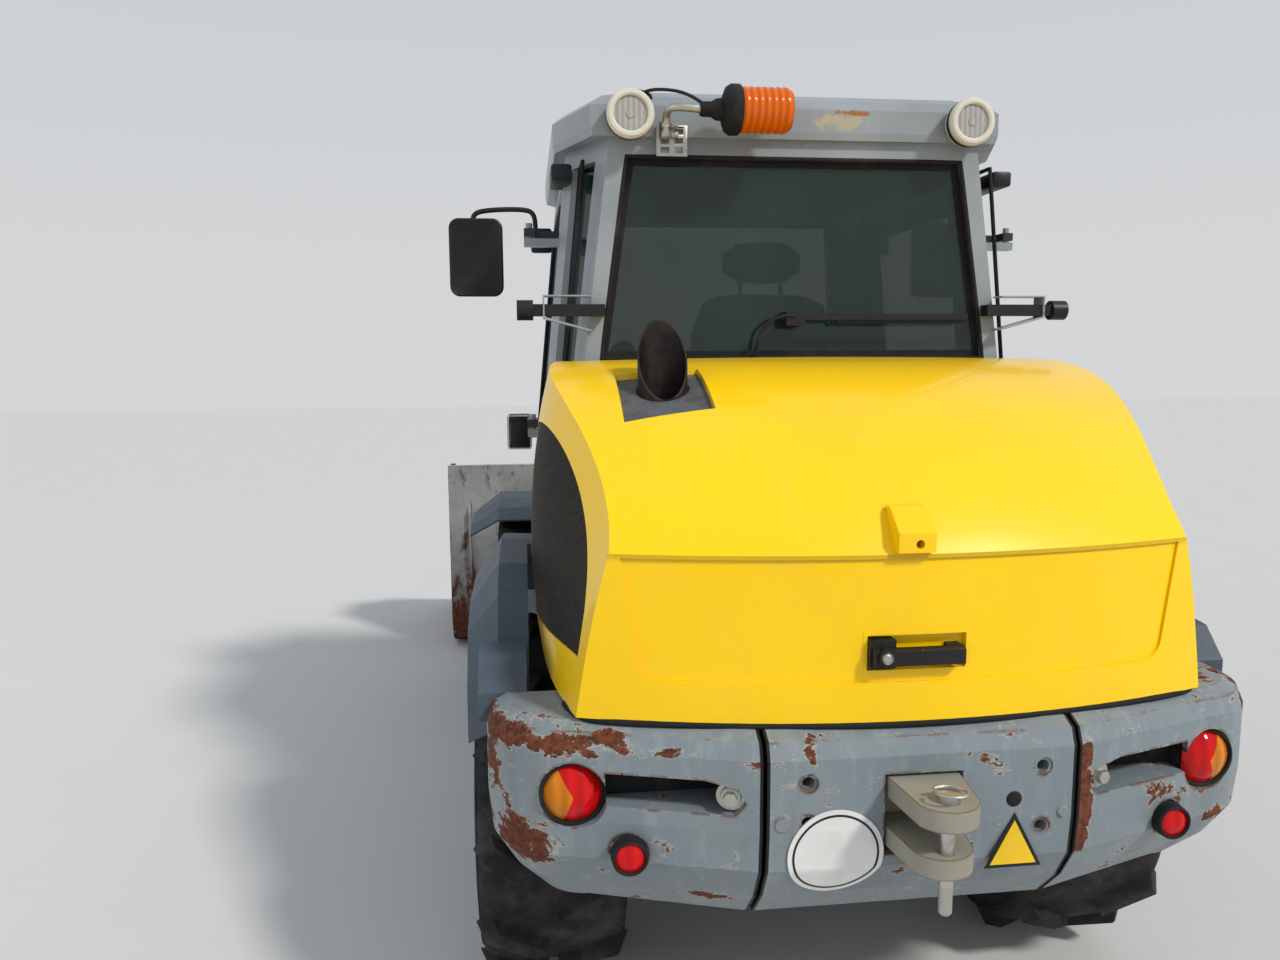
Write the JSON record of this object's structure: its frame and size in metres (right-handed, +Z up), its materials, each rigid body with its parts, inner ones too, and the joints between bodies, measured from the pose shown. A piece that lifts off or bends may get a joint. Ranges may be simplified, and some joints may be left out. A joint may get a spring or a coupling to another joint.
{
  "type": "wheel loader",
  "caption": "Compact wheel loader with a rigid frame, all-wheel steering, a glazed cab, a tilting rear hood, a cast counterweight and a wide bucket on a lift arm.",
  "frame": {"origin": "on the floor under the middle of the whole machine", "axes": "+X to the right, +Y forward towards the bucket, +Z up"},
  "size_m": [2.5, 5.29, 2.4894],
  "materials": {
    "yellow": "glossy",
    "frame_grey": "satin",
    "cast": "worn",
    "tyre": "matte",
    "rim": "satin",
    "steel": "satin",
    "black_plastic": "matte",
    "fender_plastic": "matte",
    "cab_grey": "satin",
    "glass": "clear",
    "seat_fabric": "matte",
    "lamp_white": "glossy",
    "lamp_red": "glossy",
    "lamp_amber": "glossy",
    "mesh": "matte",
    "exhaust": "burnt",
    "jaw": "worn",
    "bucket_steel": "worn",
    "mirror_glass": "satin"
  },
  "bodies": {
    "machine": {"chassis_frame": "frame_grey", "counterweight_center": "cast", "counterweight_sides": "cast", "tow_hitch": "jaw", "hitch_pin": "steel", "rear_lamps": "lamp_red", "front_axle": "frame_grey", "rear_axle": "frame_grey", "drive_shaft": "steel", "engine_block": "frame_grey", "side_tanks": "frame_grey", "fenders": "fender_plastic", "cab_frame": "cab_grey", "cab_roof": "cab_grey", "cab_windows": "glass", "seat": "seat_fabric", "dash_column": "black_plastic", "mirrors": "mirror_glass", "work_lamps": "lamp_white", "beacon": "lamp_amber", "rear_wiper": "black_plastic", "door_stops": "black_plastic"},
    "hood": {"hood": "yellow", "hood_grilles": "mesh", "tailpipe": "exhaust", "hood_handle": "black_plastic"},
    "door_left": {"door_left": "cab_grey", "door_left_glass": "glass"},
    "door_right": {"door_right": "cab_grey", "door_right_glass": "glass"},
    "lift_arm": {"lift_arm": "yellow"},
    "lift_barrels": {"lift_barrels": "frame_grey"},
    "lift_rods": {"lift_rods": "steel"},
    "tilt_lever": {"tilt_lever": "yellow"},
    "tilt_link": {"tilt_link": "frame_grey"},
    "tilt_barrel": {"tilt_barrel": "frame_grey"},
    "tilt_rod": {"tilt_rod": "steel"},
    "bucket": {"quick_hitch": "frame_grey", "bucket": "bucket_steel"},
    "knuckle_front_left": {"knuckle_front_left": "frame_grey"},
    "wheel_front_left": {"rim_front_left": "rim", "tyre_front_left": "tyre"},
    "knuckle_front_right": {"knuckle_front_right": "frame_grey"},
    "wheel_front_right": {"rim_front_right": "rim", "tyre_front_right": "tyre"},
    "knuckle_rear_left": {"knuckle_rear_left": "frame_grey"},
    "wheel_rear_left": {"rim_rear_left": "rim", "tyre_rear_left": "tyre"},
    "knuckle_rear_right": {"knuckle_rear_right": "frame_grey"},
    "wheel_rear_right": {"rim_rear_right": "rim", "tyre_rear_right": "tyre"}
  },
  "joints": [
    {"name": "steer_front_left", "type": "hinge", "parent": "machine", "child": "knuckle_front_left", "pos_m": [-0.58, 0.575, 0.5], "axis": [0, 0, 1], "range_deg": [-38, 38]},
    {"name": "spin_front_left", "type": "hinge", "parent": "knuckle_front_left", "child": "wheel_front_left", "pos_m": [-0.74, 0.575, 0.5], "axis": [-1, 0, 0], "continuous": true},
    {"name": "steer_front_right", "type": "hinge", "parent": "machine", "child": "knuckle_front_right", "pos_m": [0.58, 0.575, 0.5], "axis": [0, 0, 1], "range_deg": [-38, 38]},
    {"name": "spin_front_right", "type": "hinge", "parent": "knuckle_front_right", "child": "wheel_front_right", "pos_m": [0.74, 0.575, 0.5], "axis": [-1, 0, 0], "continuous": true},
    {"name": "steer_rear_left", "type": "hinge", "parent": "machine", "child": "knuckle_rear_left", "pos_m": [-0.58, -1.525, 0.5], "axis": [0, 0, 1], "range_deg": [-38, 38]},
    {"name": "spin_rear_left", "type": "hinge", "parent": "knuckle_rear_left", "child": "wheel_rear_left", "pos_m": [-0.74, -1.525, 0.5], "axis": [-1, 0, 0], "continuous": true},
    {"name": "steer_rear_right", "type": "hinge", "parent": "machine", "child": "knuckle_rear_right", "pos_m": [0.58, -1.525, 0.5], "axis": [0, 0, 1], "range_deg": [-38, 38]},
    {"name": "spin_rear_right", "type": "hinge", "parent": "knuckle_rear_right", "child": "wheel_rear_right", "pos_m": [0.74, -1.525, 0.5], "axis": [-1, 0, 0], "continuous": true},
    {"name": "lift", "type": "hinge", "parent": "machine", "child": "lift_arm", "pos_m": [0, 0.015, 1.62], "axis": [1, 0, 0], "range_deg": [0, 82]},
    {"name": "tilt", "type": "hinge", "parent": "lift_arm", "child": "bucket", "pos_m": [0, 1.345, 0.28], "axis": [-1, 0, 0], "range_deg": [-36, 120]},
    {"name": "tilt_lever_pivot", "type": "hinge", "parent": "lift_arm", "child": "tilt_lever", "pos_m": [0, 0.665, 1.08], "axis": [-1, 0, 0], "range_deg": [-36, 120]},
    {"name": "tilt_link_pivot", "type": "hinge", "parent": "tilt_lever", "child": "tilt_link", "pos_m": [0, 0.69896, 1.37807], "axis": [-1, 0, 0], "range_deg": [-120, 36]},
    {"name": "tilt_barrel_pivot", "type": "hinge", "parent": "lift_arm", "child": "tilt_barrel", "pos_m": [0, 0.075, 1.5], "axis": [-1, 0, 0], "range_deg": [-2.04, 6.82]},
    {"name": "tilt_rod_slide", "type": "slide", "parent": "tilt_barrel", "child": "tilt_rod", "axis": [0, 0.8924, -0.4512], "range_m": [-0.06216, 0.20721]},
    {"name": "lift_barrel_pivot", "type": "hinge", "parent": "machine", "child": "lift_barrels", "pos_m": [0, 0.215, 0.48], "axis": [1, 0, 0], "range_deg": [-7.55, 0]},
    {"name": "lift_rod_slide", "type": "slide", "parent": "lift_barrels", "child": "lift_rods", "axis": [0, 0.0195, 0.9998], "range_m": [0, 0.54801]},
    {"name": "door_left", "type": "hinge", "parent": "machine", "child": "door_left", "pos_m": [-0.765, -1.235, 1.8], "axis": [0, 0, 1], "range_deg": [0, 150]},
    {"name": "door_right", "type": "hinge", "parent": "machine", "child": "door_right", "pos_m": [0.765, -1.235, 1.8], "axis": [0, 0, -1], "range_deg": [0, 150]},
    {"name": "hood", "type": "hinge", "parent": "machine", "child": "hood", "pos_m": [0, -1.573, 1.703], "axis": [-1, 0, 0], "range_deg": [0, 48]}
  ],
  "couplings": [
    {"joint": "steer_front_right", "follows": "steer_front_left", "ratio": 1},
    {"joint": "steer_rear_left", "follows": "steer_front_left", "ratio": -1},
    {"joint": "steer_rear_right", "follows": "steer_front_left", "ratio": -1},
    {"joint": "tilt_lever_pivot", "follows": "tilt", "ratio": 1},
    {"joint": "tilt_link_pivot", "follows": "tilt", "ratio": -1},
    {"joint": "tilt_barrel_pivot", "follows": "tilt", "ratio": 0.056805},
    {"joint": "tilt_rod_slide", "follows": "tilt", "m_per_rad": 0.098937},
    {"joint": "lift_barrel_pivot", "follows": "lift", "ratio": -0.092033},
    {"joint": "lift_rod_slide", "follows": "lift", "m_per_rad": 0.38291}
  ]
}
